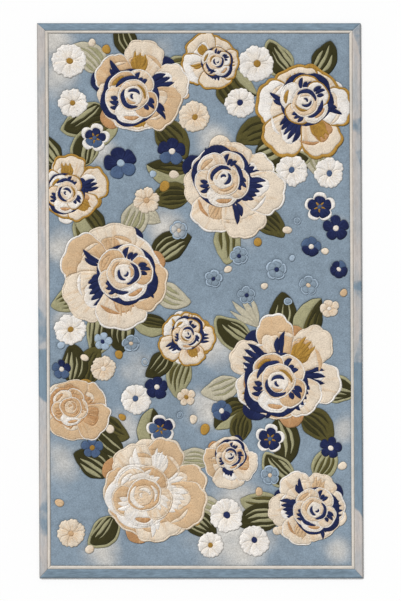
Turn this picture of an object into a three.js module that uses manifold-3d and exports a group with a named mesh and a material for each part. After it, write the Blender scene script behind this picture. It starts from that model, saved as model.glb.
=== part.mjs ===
// A hand-tufted floor rug, made in one piece: cut pile on a stiff backing, lying flat.
// The field is a plain pile with roses, leaves and small blossoms that stand a few millimetres
// above it. Round it run a raised line of pile and an outer band that slopes down to the edge.
// Frame: +X across the rug, +Y towards its head end, +Z up. The origin is on the floor, at the
// middle of the underside. All sizes are in millimetres, all angles in radians.

import * as THREE from 'three';
import { mergeVertices } from 'three/addons/utils/BufferGeometryUtils.js';
import Module from 'manifold-3d';

const wasm = await Module();
wasm.setup();

// Driving sizes
const WIDTH = 1400;
const LENGTH = 2400;
const LEAN = 11; // the head end sits this far to the left of the foot end
const GROUND_TOP = 12; // top of the plain pile
const BORDER = 50; // from the rug's edge to the field
const FIELD_RISE = 4.5; // the field sits this far towards the head end
const FORM_ROOT = 8; // raised forms start inside the pile, at this height

// Tops of the raised pile
const SPRAY_TOP = 13.2;
const LEAF_TOP = 13.8;
const DOT_TOP = 14.0;
const SMALL_BLOSSOM_TOP = 14.2;
const WHITE_BLOSSOM_TOP = 14.6;
const BACK_PETAL_TOP = 14.2;
const OUTER_PETAL_TOP = 14.8;
const MIDDLE_PETAL_TOP = 16.0;
const CUP_TOP = 17.0;
const HEART_TOP = 17.5;
const PETAL_STEP = 0.4; // neighbouring petals differ by this

// Corners on one outline of each form
const PETAL_SIDES = 12;
const SMALL_SIDES = 8;
const LEAF_STEPS = 6;
const DOT_SIDES = 6;

const RUG_COLOUR = 0x8395a3;

// The border's section: how far in from the rug's edge, and how high
const BORDER_SECTION = [
  { inset: 0, height: 0 },
  { inset: 0, height: 6.5 },
  { inset: 3, height: 9.8 },
  { inset: 32, height: 12.4 },
  { inset: 36.5, height: 9.6 },
  { inset: 39.5, height: 13.6 },
  { inset: 47, height: 13.6 },
  { inset: BORDER, height: 9.6 },
  { inset: BORDER + 3, height: GROUND_TOP },
];

// Makes named rows out of a short table.
const table = (columns, rows) =>
  rows.map((row) => Object.fromEntries(columns.map((name, i) => [name, row[i]])));

// size is the rose's radius, and tilt the way that its cup leans.
const ROSES = table(['x', 'y', 'size', 'turn', 'petals', 'tilt'], [
  [-270, 900, 212, 0.3, 6, 0.6],
  [60, 1030, 118, 0.9, 5, 2.0],
  [455, 830, 195, 1.0, 6, 3.6],
  [120, 500, 218, 0.5, 7, 5.0],
  [-560, 470, 150, 0.2, 5, 0.4],
  [-355, 110, 222, 0.8, 6, 2.4],
  [-60, -165, 122, 0.1, 5, 4.4],
  [345, -330, 236, 0.0, 7, 1.2],
  [-545, -470, 142, 0.6, 5, 5.4],
  [-225, -830, 236, 0.4, 7, 0.2],
  [470, -905, 172, 0.2, 6, 2.8],
  [125, -690, 112, 0.7, 5, 3.9],
]);

// Each leaf grows from under a rose, given by its row above, towards a bearing in degrees.
const LEAVES = table(['rose', 'bearing', 'length', 'width', 'bend'], [
  [0, 200, 210, 120, 0.10], [0, 235, 190, 115, -0.10], [0, 300, 200, 120, 0.08],
  [0, 150, 180, 105, -0.08], [0, 95, 150, 90, 0.10],
  [1, 180, 150, 90, 0.10], [1, 330, 150, 85, -0.10], [1, 285, 140, 85, 0.10],
  [2, 250, 190, 115, 0.10], [2, 215, 180, 110, -0.10], [2, 110, 180, 110, 0.10],
  [2, 75, 160, 95, -0.10], [2, 290, 170, 105, -0.06],
  [3, 10, 215, 120, 0.10], [3, 45, 180, 110, -0.10], [3, 160, 190, 110, 0.10],
  [3, 200, 170, 105, -0.10], [3, 310, 170, 95, 0.10], [3, 265, 180, 105, 0.06],
  [4, 60, 180, 110, 0.10], [4, 110, 170, 105, 0.10], [4, 300, 170, 95, -0.10],
  [5, 20, 190, 110, 0.10], [5, 345, 170, 95, -0.10], [5, 110, 190, 110, 0.10],
  [5, 80, 170, 105, -0.10], [5, 245, 200, 115, 0.10], [5, 280, 170, 105, -0.10],
  [5, 200, 150, 90, 0.10],
  [6, 150, 160, 90, 0.10], [6, 270, 170, 95, -0.10], [6, 215, 150, 85, 0.10],
  [7, 130, 200, 115, 0.10], [7, 95, 180, 105, -0.10], [7, 55, 200, 110, 0.10],
  [7, 185, 170, 95, 0.10], [7, 225, 180, 105, -0.10], [7, 265, 210, 120, 0.10],
  [7, 300, 180, 110, 0.10], [7, 340, 160, 105, 0.10],
  [8, 60, 180, 105, 0.10], [8, 100, 170, 105, -0.10], [8, 300, 170, 95, 0.10],
  [8, 340, 160, 90, -0.10],
  [9, 80, 180, 110, 0.10], [9, 125, 200, 115, 0.10], [9, 160, 180, 110, -0.10],
  [9, 215, 170, 105, 0.10], [9, 350, 170, 105, -0.10], [9, 320, 170, 95, 0.10],
  [10, 120, 180, 105, 0.10], [10, 165, 170, 95, 0.10], [10, 200, 190, 110, -0.10],
  [10, 80, 160, 95, -0.10],
  [11, 60, 150, 85, 0.10], [11, 190, 150, 85, -0.10],
]);

// size is the radius to the petals' tips.
const WHITE_BLOSSOMS = table(['x', 'y', 'size', 'turn', 'petals'], [
  [-560, 1030, 72, 0.2, 7], [-545, 850, 62, 0.5, 7], [250, 1020, 74, 0.1, 7],
  [175, 850, 70, 0.4, 7], [-20, 790, 64, 0.0, 7], [400, 560, 70, 0.3, 7],
  [560, 545, 66, 0.6, 7], [-230, 430, 60, 0.3, 6], [-560, -130, 66, 0.2, 7],
  [-280, -430, 68, 0.4, 7], [-420, -300, 56, 0.4, 7], [110, -930, 74, 0.1, 7],
  [230, -1040, 66, 0.5, 7], [40, -1060, 60, 0.7, 7], [-560, -1010, 60, 0.5, 7],
]);

const SMALL_BLOSSOMS = table(['x', 'y', 'size', 'turn', 'petals'], [
  [-120, 640, 58, 0.2, 5], [-340, 590, 66, 0.6, 5], [590, 310, 52, 0.4, 5],
  [480, 230, 44, 0.1, 5], [600, 130, 40, 0.9, 5], [-190, -380, 48, 0.2, 5],
  [-600, -300, 44, 0.3, 5], [90, -480, 46, 0.3, 5], [560, -640, 46, 0.1, 5],
  [-470, -640, 46, 0.3, 5], [330, 130, 42, 0.2, 5], [170, 190, 40, 0.6, 5],
  [470, 60, 40, 0.3, 5], [560, -40, 40, 0.5, 5], [200, 20, 36, 0.4, 5],
  [60, 90, 38, 0.1, 5], [-420, -180, 40, 0.1, 5], [-300, -190, 36, 0.5, 5],
  [-60, -420, 42, 0.5, 5], [300, -760, 40, 0.5, 5], [-90, 300, 38, 0.5, 5],
  [520, 400, 64, 0.3, 5], [-450, 700, 60, 0.1, 5], [-170, -560, 62, 0.5, 5],
  [300, -600, 60, 0.2, 5],
]);

const DOTS = table(['x', 'y', 'size'], [
  [-400, 1080, 20], [-460, 1110, 18], [330, 930, 22], [-60, 880, 18], [-110, 540, 20],
  [-150, 490, 24], [-200, 540, 17], [380, 300, 20], [420, 340, 18], [540, 210, 17],
  [400, 180, 15], [250, 250, 20], [280, 60, 16], [120, 130, 18], [380, -10, 18],
  [620, 30, 18], [-500, -250, 17], [-350, -240, 20], [-240, -270, 18], [-600, -200, 18],
  [-30, -520, 20], [20, -560, 24], [-90, -500, 17], [-390, -560, 20], [-340, -510, 16],
  [250, -830, 18], [330, -1000, 20], [-20, -960, 18], [610, -720, 20], [-610, -880, 20],
  [-480, -1080, 20],
]);

// Slim pale leaves fanning from one point.
const SPRAYS = table(['x', 'y', 'turn', 'length', 'count'], [
  [-170, 330, 2.6, 150, 4], [300, 640, 0.6, 150, 3], [-420, -640, 4.0, 150, 4],
  [250, -120, 2.2, 170, 4], [-60, 760, 3.6, 150, 4],
]);

// A rose's middle petals and its cup sit this share of its size away from its tilt.
const HEART_SHIFT = 0.14;

const MIDDLE_PETALS = 5;

// Leaves start this share of their rose's size away from its middle.
const LEAF_ROOT = 0.78;

// Leaves are cut this much wider than their table says.
const LEAF_FULLNESS = 1.15;

// Repeatable unevenness from -1 to 1
const wobble = (k, salt = 0) => Math.sin(12.9898 * k + 4.1414 * salt + 1.3);

const TURN = 2 * Math.PI;

// Points given at unit size, turned, scaled and moved to (x, y)
function placed(points, x, y, turn, size) {
  const c = Math.cos(turn);
  const s = Math.sin(turn);
  return points.map(([u, v]) => [x + size * (c * u - s * v), y + size * (s * u + c * v)]);
}

// An egg-shaped petal at unit size, its middle at reach along turn, wider towards its tip
function lobe(reach, turn, length, width, egg, sides) {
  const points = Array.from({ length: sides }, (_, i) => {
    const t = (TURN * i) / sides;
    const across = 0.5 * width * Math.sin(t) * (1 + egg * Math.cos(t));
    return [reach + 0.5 * length * Math.cos(t), across];
  });
  return placed(points, 0, 0, turn, 1);
}

// A blade from (0, 0) to (1, 0), bowed by bend, its half width given along its length
function blade(bend, halfWidth, steps) {
  const along = Array.from({ length: steps - 1 }, (_, i) => (i + 1) / steps);
  const bow = (t) => 4 * bend * t * (1 - t);
  const near = along.map((t) => [t, bow(t) - halfWidth(t)]);
  const far = along.map((t) => [t, bow(t) + halfWidth(t)]);
  return [[0, 0], ...near, [1, 0], ...far.reverse()];
}

// One rose: back petals, a ring of outer petals, middle petals, a cup and its heart
function roseForms({ x, y, size, turn, petals, tilt }) {
  const forms = [];
  const add = (outline, top) => forms.push({ outline: placed(outline, x, y, turn, size), top });
  const middleX = -HEART_SHIFT * Math.cos(tilt);
  const middleY = -HEART_SHIFT * Math.sin(tilt);
  const step = TURN / petals;
  for (let k = 0; k < petals; k += 1) {
    if ((k + petals) % 3 !== 1) {
      const angle = (k + 0.46) * step + 0.1 * wobble(k, 7);
      add(lobe(0.66, angle, 0.6, 0.5, 0.2, SMALL_SIDES), BACK_PETAL_TOP);
    }
  }
  for (let k = 0; k < petals; k += 1) {
    const angle = k * step + 0.18 * wobble(k, size);
    const long = 0.86 + 0.1 * wobble(k + 2, turn) + 0.13 * Math.cos(angle - tilt);
    const wide = (0.88 + 0.12 * wobble(k + 5, turn)) * (step / (TURN / 6));
    const outline = lobe(0.16 + 0.5 * long, angle, long, wide, 0.3, PETAL_SIDES);
    add(outline, OUTER_PETAL_TOP + PETAL_STEP * (k % 3));
  }
  for (let k = 0; k < MIDDLE_PETALS; k += 1) {
    const angle = ((k + 0.5) * TURN) / MIDDLE_PETALS + 0.2 * wobble(k, turn);
    const long = 0.54 + 0.06 * wobble(k, 2);
    const outline = lobe(0.31, angle, long, 0.6, 0.2, SMALL_SIDES);
    add(placed(outline, middleX, middleY, 0, 1), MIDDLE_PETAL_TOP + PETAL_STEP * (k % 2));
  }
  const cup = lobe(0.02, tilt, 0.67, 0.61, 0.14, SMALL_SIDES);
  add(placed(cup, middleX, middleY, 0, 1), CUP_TOP);
  const heart = lobe(0, tilt, 0.42, 0.38, 0.14, SMALL_SIDES);
  add(placed(heart, middleX, middleY, 0, 1), HEART_TOP);
  return forms;
}

function leafForm({ rose, bearing, length, width, bend }) {
  const { x, y, size } = ROSES[rose];
  const angle = THREE.MathUtils.degToRad(bearing);
  const root = LEAF_ROOT * size;
  const slim = (LEAF_FULLNESS * width) / length;
  const halfWidth = (t) => 0.5 * slim * Math.sin(Math.PI * t ** 0.8) ** 0.68;
  const outline = blade(bend, halfWidth, LEAF_STEPS);
  const baseX = x + root * Math.cos(angle);
  const baseY = y + root * Math.sin(angle);
  return { outline: placed(outline, baseX, baseY, angle + 2.2 * bend, length), top: LEAF_TOP };
}

// A round blossom: each petal gives its two shoulders or its tip, and then the notch beside it
function blossomForm({ x, y, size, turn, petals }, top) {
  const step = TURN / petals;
  const shoulders = petals > 6 ? [0] : [-0.22, 0.22];
  const notch = petals > 6 ? 0.87 : 0.68;
  const polar = (r, angle) => [r * Math.cos(angle), r * Math.sin(angle)];
  const outline = [];
  for (let k = 0; k < petals; k += 1) {
    const tip = 1 + 0.07 * wobble(k, x);
    shoulders.forEach((part) => outline.push(polar(tip, (k + part) * step)));
    outline.push(polar(notch, (k + 0.5) * step));
  }
  return { outline: placed(outline, x, y, turn, size), top };
}

function dotForm({ x, y, size }) {
  return { outline: placed(lobe(0, 0, 2, 1.7, 0.1, DOT_SIDES), x, y, x, size), top: DOT_TOP };
}

function sprayForms({ x, y, turn, length, count }) {
  const middle = (count - 1) / 2;
  const halfWidth = (t) => 0.085 * Math.sin(Math.PI * t) ** 0.8;
  return Array.from({ length: count }, (_, k) => {
    const outline = blade((0.1 * (k - middle)) / count, halfWidth, 4);
    const long = length * (1 - 0.12 * Math.abs(k - middle));
    return { outline: placed(outline, x, y, turn + 0.26 * (k - middle), long), top: SPRAY_TOP };
  });
}

// A closed geometry as a solid that can be joined and cut
function solid(geometry) {
  geometry.deleteAttribute('normal');
  geometry.deleteAttribute('uv');
  const merged = mergeVertices(geometry, 1e-3);
  const vertProperties = Float32Array.from(merged.attributes.position.array);
  const triVerts = Uint32Array.from(merged.index.array);
  return new wasm.Manifold(new wasm.Mesh({ numProp: 3, vertProperties, triVerts }));
}

// A raised form, standing from inside the pile up to its top
function raised({ outline, top }) {
  const shape = new THREE.Shape(outline.map(([x, y]) => new THREE.Vector2(x, y)));
  const depth = top - FORM_ROOT;
  const geometry = new THREE.ExtrudeGeometry(shape, { depth, bevelEnabled: false });
  return solid(geometry.translate(0, 0, FORM_ROOT));
}

// The slab with its border: one rectangle for each row of the section, joined with mitred corners
function slabGeometry() {
  const positions = [];
  BORDER_SECTION.forEach(({ inset, height }) => {
    const x = WIDTH / 2 - inset;
    const rise = FIELD_RISE * Math.min(inset / BORDER, 1);
    const foot = -(LENGTH / 2 - inset) + rise;
    const head = LENGTH / 2 - inset + rise;
    positions.push(-x, foot, height, x, foot, height, x, head, height, -x, head, height);
  });
  const index = [0, 2, 1, 0, 3, 2];
  for (let row = 0; row + 1 < BORDER_SECTION.length; row += 1) {
    for (let corner = 0; corner < 4; corner += 1) {
      const a = 4 * row + corner;
      const b = 4 * row + ((corner + 1) % 4);
      index.push(a, b, b + 4, a, b + 4, a + 4);
    }
  }
  const last = 4 * (BORDER_SECTION.length - 1);
  index.push(last, last + 1, last + 2, last, last + 2, last + 3);
  const geometry = new THREE.BufferGeometry();
  geometry.setAttribute('position', new THREE.Float32BufferAttribute(positions, 3));
  geometry.setIndex(index);
  return geometry;
}

// The field's own block, which trims forms that reach under the border
function fieldBlock() {
  const tall = 40;
  const block = new THREE.BoxGeometry(WIDTH - 2 * BORDER, LENGTH - 2 * BORDER, tall);
  return solid(block);
}

function rugGeometry() {
  const forms = [
    ...SPRAYS.flatMap(sprayForms),
    ...LEAVES.map(leafForm),
    ...WHITE_BLOSSOMS.map((row) => blossomForm(row, WHITE_BLOSSOM_TOP)),
    ...SMALL_BLOSSOMS.map((row) => blossomForm(row, SMALL_BLOSSOM_TOP)),
    ...DOTS.map(dotForm),
    ...ROSES.flatMap(roseForms),
  ];
  const whole = wasm.Manifold.union(forms.map(raised)).intersect(fieldBlock());
  const relief = whole.translate([0, FIELD_RISE, 0]);
  const { vertProperties, triVerts } = relief.add(solid(slabGeometry())).getMesh();
  const geometry = new THREE.BufferGeometry();
  geometry.setAttribute('position', new THREE.Float32BufferAttribute(vertProperties, 3));
  geometry.setIndex([...triVerts]);
  const lean = new THREE.Matrix4().makeShear(0, 0, -LEAN / LENGTH, 0, 0, 0);
  return geometry.applyMatrix4(lean);
}

const material = new THREE.MeshStandardMaterial({ color: RUG_COLOUR, roughness: 0.95, metalness: 0 });
const rug = new THREE.Mesh(rugGeometry(), material);
rug.name = 'rug';

const object = new THREE.Group();
object.add(rug);

export default object;
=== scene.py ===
# %% [markdown]
# # A hand-tufted flower rug
# This lesson dresses a wool rug of 1.40 by 2.40 m that lies flat on a floor. On the real one a
# tufting gun drives yarn through a stretched cloth, colour by colour. The pile is sheared level,
# and then a pair of bent shears carves a groove round every colour, so the flowers stand up.
# The rug's solid model is the frame: it gives the place, the size and the main relief.

from collections import namedtuple
from functools import partial

import bpy
import numpy as np
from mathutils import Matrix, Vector
from mathutils.geometry import delaunay_2d_cdt


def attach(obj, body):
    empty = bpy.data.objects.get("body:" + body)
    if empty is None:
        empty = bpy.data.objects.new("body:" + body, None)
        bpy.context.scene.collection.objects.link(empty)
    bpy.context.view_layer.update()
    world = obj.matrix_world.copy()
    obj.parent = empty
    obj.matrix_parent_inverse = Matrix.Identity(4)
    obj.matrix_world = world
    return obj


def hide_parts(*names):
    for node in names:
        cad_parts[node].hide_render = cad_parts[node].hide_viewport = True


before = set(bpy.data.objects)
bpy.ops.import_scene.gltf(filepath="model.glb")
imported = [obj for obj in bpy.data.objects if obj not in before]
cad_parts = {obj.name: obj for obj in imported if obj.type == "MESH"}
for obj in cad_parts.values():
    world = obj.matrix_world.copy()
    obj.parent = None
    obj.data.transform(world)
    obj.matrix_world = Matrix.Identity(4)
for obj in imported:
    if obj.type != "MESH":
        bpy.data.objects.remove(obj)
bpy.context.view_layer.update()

# %% [markdown]
# ## Sizes
# All the shapes are worked out in millimetres, as a rug maker draws them, and become metres only
# when a mesh is made. The border is 50 mm wide. The plain pile is 12 mm high with its backing, and
# every raised form has the height that the solid model gives it, so the two agree.

# %% Sizes in millimetres
MM = 0.001
WIDTH = 1400.0
LENGTH = 2400.0
BORDER = 50.0
LEAN = 11.0  # the foot lies this far to the right of the head
FIELD_RISE = 4.5  # the field sits this far towards the head
BACKING = 2.2
GROUND_TOP = 12.0
SPRAY_TOP = 13.2
LEAF_TOP = 13.8
DOT_TOP = 14.0
SMALL_BLOSSOM_TOP = 14.2
WHITE_BLOSSOM_TOP = 14.6
BACK_PETAL_TOP = 14.2
OUTER_PETAL_TOP = 14.8
MIDDLE_PETAL_TOP = 16.0
CUP_TOP = 17.0
HEART_TOP = 17.5
PETAL_STEP = 0.4  # neighbouring petals differ by this much in height
CARVED = 3.2  # a groove's depth below the lower of its two sides
FIELD_X = WIDTH / 2 - BORDER
FIELD_Y = LENGTH / 2 - BORDER
TURN = 2 * np.pi
print("field", 2 * FIELD_X, "by", 2 * FIELD_Y, "mm")

# %% [markdown]
# ## The drawing
# A tufter works from a drawing on the cloth, where every colour area is one closed outline. Such
# outlines could be drawn by hand, point by point, but a rose, a leaf and a blossom are each one
# rule repeated, so short formulas draw them and short tables place them. Later outlines lie over
# earlier ones, as petals do. A Form is one outline with its yarn, its height and its grain: the
# point, direction and size that its streaks follow, and whether they are a petal's or a blade's.

# %% Outlines
Form = namedtuple("Form", "outline yarn top grain")
LOOSE = 0.0  # kinds of grain
PETAL = 1.0
BLADE = 2.0


def wobble(k, salt=0.0):
    """Repeatable unevenness from -1 to 1: the sine of a large multiple of k."""
    return np.sin(12.9898 * k + 4.1414 * salt + 1.3)


def placed(points, x, y, turn, size=1.0):
    """Points at unit size, turned, scaled and moved to (x, y)."""
    c, s = np.cos(turn), np.sin(turn)
    return np.stack([x + size * (c * points[:, 0] - s * points[:, 1]),
                     y + size * (s * points[:, 0] + c * points[:, 1])], 1)


def lobe(reach, turn, length, width, egg=0.3, scallops=0, depth=0.0, steps=40, phase=0.0):
    """A petal: an ellipse whose width grows with the cosine of the angle, so that its tip is
    broader than its root, with rounded scallops and small notches round the tip."""
    t = np.linspace(0, TURN, steps, endpoint=False)
    outward = np.clip(np.cos(t) + 0.35, 0, 1)
    ripple = 1 + depth * (2 * np.abs(np.cos(0.5 * scallops * t + phase)) - 1.3) * outward
    points = np.stack([reach + 0.5 * length * np.cos(t) * ripple,
                       0.5 * width * np.sin(t) * (1 + egg * np.cos(t)) * ripple], 1)
    return placed(points, 0, 0, turn)


def ribbon(spine, half):
    """A closed outline: the spine moved to either side by its half width."""
    along = np.gradient(spine, axis=0)
    along /= np.linalg.norm(along, axis=1)[:, None] + 1e-12
    side = np.stack([-along[:, 1], along[:, 0]], 1) * half[:, None]
    left, right = spine + side, (spine - side)[::-1]
    pointed = half[0] < 1e-9 and half[-1] < 1e-9
    return np.concatenate([left, right[1:-1] if pointed else right])


def stroke(start, end, bow, thick, steps=14, blunt=0.7):
    """A tapered stroke on a bowed line, its width a power of the sine along it."""
    t = np.linspace(0, 1, steps)
    start, way = np.asarray(start, float), np.subtract(end, start)
    side = np.array([-way[1], way[0]])
    spine = start + way * t[:, None] + side * (4 * bow * t * (1 - t))[:, None]
    return ribbon(spine, 0.5 * thick * np.sin(np.pi * t) ** blunt)


def crescent(x, y, radius, middle, span, thick, steps=18):
    """A tapered stroke along part of a circle."""
    angle = middle + span * np.linspace(-0.5, 0.5, steps)
    spine = np.stack([x + radius * np.cos(angle), y + radius * np.sin(angle)], 1)
    return ribbon(spine, 0.5 * thick * np.sin(np.pi * np.linspace(0, 1, steps)) ** 0.6)


def polar(radius, angle):
    """The point at this distance and angle."""
    return np.array([radius * np.cos(angle), radius * np.sin(angle)])


print("a petal has", len(lobe(0.5, 0, 1, 1)), "points")

# %% [markdown]
# ## Roses
# The roses are the rug's largest forms, and every colour in them is tufted on its own. They could
# be drawn one by one, but all twelve are rings of petals that differ in number, size and yarns, so
# one table gives each kind of rose its yarns, and another places the roses. A rose leans to one
# side: there its outer petals are longest, and its heart lies a little towards the other side.

# %% The roses' tables
Yarns = namedtuple("Yarns", "rim face second patch dark back")
Rose = namedtuple("Rose", "x y size turn petals yarns tilt")
ROSE_YARNS = {
    "navy heart": Yarns("white", "cream", "peach", "gold", "navy", "navy"),
    "quiet heart": Yarns("white", "cream", "peach", "peach", "navy", "navy"),
    "gold rim": Yarns("gold", "cream", "white", "gold", "navy", "gold"),
    "peach petal": Yarns("white", "peach", "cream", "sand", "sand", "gold"),
    "cream petal": Yarns("white", "cream", "cream", "peach", "navy", "navy"),
    "pale petal": Yarns("cream", "peach", "cream", "white", "white", "sand"),
}

ROSES = [
    Rose(-270, 900, 212, 0.3, 6, "navy heart", 0.6),
    Rose(60, 1030, 118, 0.9, 5, "gold rim", 2.0),
    Rose(455, 830, 195, 1.0, 6, "gold rim", 3.6),
    Rose(120, 500, 218, 0.5, 7, "cream petal", 5.0),
    Rose(-560, 470, 150, 0.2, 5, "gold rim", 0.4),
    Rose(-355, 110, 222, 0.8, 6, "quiet heart", 2.4),
    Rose(-60, -165, 122, 0.1, 5, "gold rim", 4.4),
    Rose(345, -330, 236, 0.0, 7, "navy heart", 1.2),
    Rose(-545, -470, 142, 0.6, 5, "peach petal", 5.4),
    Rose(-225, -830, 236, 0.4, 7, "pale petal", 0.2),
    Rose(470, -905, 172, 0.2, 6, "cream petal", 2.8),
    Rose(125, -690, 112, 0.7, 5, "quiet heart", 3.9),
]
print(len(ROSES), "roses of", len(ROSE_YARNS), "kinds")

# %% [markdown]
# ## A rose's outer petals
# A ring of outer petals has white, cream or golden rims, and the tips of back petals peep out
# between them. Flames of other yarns are laid into the petals, which gives the painted look. Each
# function draws at unit size and passes every outline to add, with its yarn and its height, so the
# rose can be turned and scaled in one place.

# %% Outer petals
LARGE_ROSE = 160  # mm, and above it a rose has more strokes


def back_petals(rose, yarns, step, add):
    """Tips between the outer petals, with every third one left out."""
    plain = "sand" if yarns.second == "peach" else yarns.second
    for k in range(rose.petals):
        if (k + rose.petals) % 3 != 1:
            tip = lobe(0.66, (k + 0.46) * step + 0.1 * wobble(k, 7), 0.60, 0.50, 0.2, 3, 0.05, 36)
            add(tip, plain if k % 2 else yarns.back, BACK_PETAL_TOP)


def flames(rose, yarns, k, angle, top, add):
    """What is laid into outer petal k: by turns a foot and pointed strokes in the dark yarn, a
    patch with slimmer strokes, and two lone strokes."""
    if k % 3 == 0:
        add(lobe(0.40, angle, 0.36, 0.50, 0.0, 4, 0.10, 30), yarns.dark, top)
        for j in (-2, -1, 0, 1, 2) if rose.size > LARGE_ROSE else (-1, 0, 1):
            tip = polar(0.72 + 0.12 * wobble(k + j, rose.turn), angle + 0.15 * j)
            add(stroke(polar(0.34, angle + 0.14 * j), tip, 0.05 * j, 0.115), yarns.dark, top)
    elif k % 3 == 1:
        add(lobe(0.50, angle + 0.10, 0.46, 0.34, 0.5, 3, 0.08, 30), yarns.patch, top)
        for j in (-1, 0, 1):
            tip = polar(0.80 + 0.06 * wobble(k - j, rose.turn), angle + 0.1 + 0.13 * j)
            add(stroke(polar(0.46, angle + 0.1 + 0.1 * j), tip, 0.06 * j, 0.07), yarns.patch, top)
    else:
        flame = yarns.dark if rose.petals > 5 else yarns.patch
        add(stroke(polar(0.38, angle - 0.2), polar(0.84, angle - 0.22), 0.10, 0.11), flame, top)
        add(stroke(polar(0.40, angle - 0.02), polar(0.72, angle - 0.06), 0.10, 0.10), flame, top)


def outer_petals(rose, yarns, step, add):
    """Each is a ragged rim, the same shape a little smaller as its face, a shade at its foot, a
    crescent in large roses, and flames. Its length grows with the cosine of its angle from the tilt."""
    rim, face, second = yarns[:3]
    slim = 0.91 if rim == "gold" else 0.955
    for k in range(rose.petals):
        top = OUTER_PETAL_TOP + PETAL_STEP * (k % 3)
        angle = k * step + 0.18 * wobble(k, rose.size)
        long = 0.86 + 0.10 * wobble(k + 2, rose.turn) + 0.13 * np.cos(angle - rose.tilt)
        wide = (0.88 + 0.12 * wobble(k + 5, rose.turn)) * step / (TURN / 6)
        reach = 0.16 + 0.5 * long
        ragged = (0.30, 8, 0.045, 60, 0.7 * k)
        petal_rim = "cream" if rim == "white" and k % 2 == 1 else rim
        add(lobe(reach, angle, long, wide, *ragged), petal_rim, top)
        face_reach = reach - 0.012 - (1 - slim) * 0.2
        add(lobe(face_reach, angle, long * slim, wide * slim, *ragged), (face, face, second)[k % 3], top)
        shade = ("white" if face == "cream" else second, second if k % 2 else "sand", face)[k % 3]
        add(lobe(reach - 0.16, angle + 0.16, long * 0.62, wide * 0.46, 0.45, 4, 0.10, 36, k), shade, top)
        if rose.size > LARGE_ROSE:
            add(crescent(*polar(0.30, angle), 0.42 * long + 0.08, angle - 0.55, 0.9, 0.07), shade, top)
        flames(rose, yarns, k, angle, top, add)


print(sum(rose.size > LARGE_ROSE for rose in ROSES), "large roses")

# %% [markdown]
# ## A rose's heart
# Five middle petals stand round a cup, and on its disc crescents wind inwards, as the innermost
# petals of a rose do. These inner rings are moved together towards the side that the rose doesn't
# lean to.

# %% The heart and the whole rose
HEART_SHIFT = 0.14  # how far the inner rings lie off the middle, as a share of the rose's size
MIDDLE_PETALS = 5


def middle_petals(rose, yarns, add):
    """Rimmed petals on a ground of the dark yarn, by turns with strokes of it and a crescent."""
    rim, face, second, patch, dark = yarns[:5]
    add(lobe(0.05, rose.tilt + 2.6, 1.22, 1.16, 0.0, 5, 0.07, 48), dark, OUTER_PETAL_TOP)
    for k in range(MIDDLE_PETALS):
        top = MIDDLE_PETAL_TOP + PETAL_STEP * (k % 2)
        angle = (k + 0.5) * TURN / MIDDLE_PETALS + 0.2 * wobble(k, rose.turn)
        long = 0.54 + 0.06 * wobble(k, 2)
        ragged = (0.2, 3, 0.04, 36)
        add(lobe(0.31, angle, long, 0.60, *ragged), "white" if rim == "white" or k % 2 else rim, top)
        add(lobe(0.300, angle, long * 0.92, 0.55, *ragged), (face, second, face, "white", second)[k], top)
        if k % 2 == 0:
            for j in (0, 1, 2):
                foot = polar(0.27, angle + 0.34 - 0.24 * j)
                tip = polar(0.47 + 0.05 * wobble(k, j), angle + 0.2 - 0.22 * j)
                add(stroke(foot, tip, 0.14, 0.095), dark, top)
        else:
            add(crescent(0, 0, 0.44, angle + 0.1, 0.7, 0.09), patch if k == 1 else "sand", top)
    add(crescent(0, 0, 0.375, rose.tilt + 1.0, 1.5, 0.10), dark, MIDDLE_PETAL_TOP)


def cup_and_heart(rose, yarns, add):
    """Two egg shapes in one another, a disc on them, and crescents that wind inwards on the disc."""
    _, face, second, patch, dark, _ = yarns
    inner = second if second != "white" else face
    for radius, yarn in ((0.335, "white"), (0.305, face)):
        egg = lobe(0, 0, 2 * radius, 1.82 * radius, 0.14, 5, 0.03, 36)
        add(placed(egg, *(0.02 * polar(1, rose.tilt)), rose.tilt), yarn, CUP_TOP)
    disc = placed(lobe(0, 0, 0.42, 0.38, 0.14, 3, 0.03, 28), 0, 0, rose.tilt)
    add(disc, "white" if face == "cream" else inner, HEART_TOP)
    for radius, bearing, span, thick, yarn in (
            (0.215, 2.9, 2.7, 0.095, dark), (0.235, -0.4, 1.5, 0.06, patch), (0.125, 0.5, 2.3, 0.07, dark),
            (0.135, 3.3, 1.8, 0.06, inner), (0.045, 2.4, 3.0, 0.05, dark)):
        add(crescent(0.02, 0, radius, rose.tilt + bearing, span, thick), yarn, HEART_TOP)


def draw_rose(rose):
    """The forms of one rose from its back petals to its heart, drawn at unit size."""
    yarns = ROSE_YARNS[rose.yarns]
    step = TURN / rose.petals
    shift = -HEART_SHIFT * polar(1, rose.tilt)
    forms = []

    def add(outline, yarn, top):
        place = (rose.x, rose.y, rose.turn, rose.size)
        forms.append(Form(placed(outline, *place), yarn, top, (*place, PETAL)))

    def add_shifted(outline, yarn, top):
        add(outline + shift, yarn, top)

    back_petals(rose, yarns, step, add)
    outer_petals(rose, yarns, step, add)
    middle_petals(rose, yarns, add_shifted)
    cup_and_heart(rose, yarns, add_shifted)
    return forms


print(len(draw_rose(ROSES[0])), "forms in the first rose")

# %% [markdown]
# ## Leaves and sprays
# Leaves grow from under the roses, so their table gives a rose and a bearing rather than a place.
# Each blade is carved along lighter or darker veins that fan from its base, and some have one side,
# or all but a rim, in another yarn. The sprays are slim pale leaves without veins.

# %% Leaves and sprays
LEAF_ROOT = 0.78  # a leaf starts this far from its rose's middle, as a share of the rose's size
LEAF_FULLNESS = 1.15
DARK = ("olive", "moss", None)  # yarns of body, veins and split side
LIGHT = ("sage", "olive", None)
DEEP = ("moss", "sage", None)
HALF = ("moss", "olive", "sage")
PALE = ("fern", "sage", None)
RIMMED = ("sage", "sage", "moss")

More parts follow.
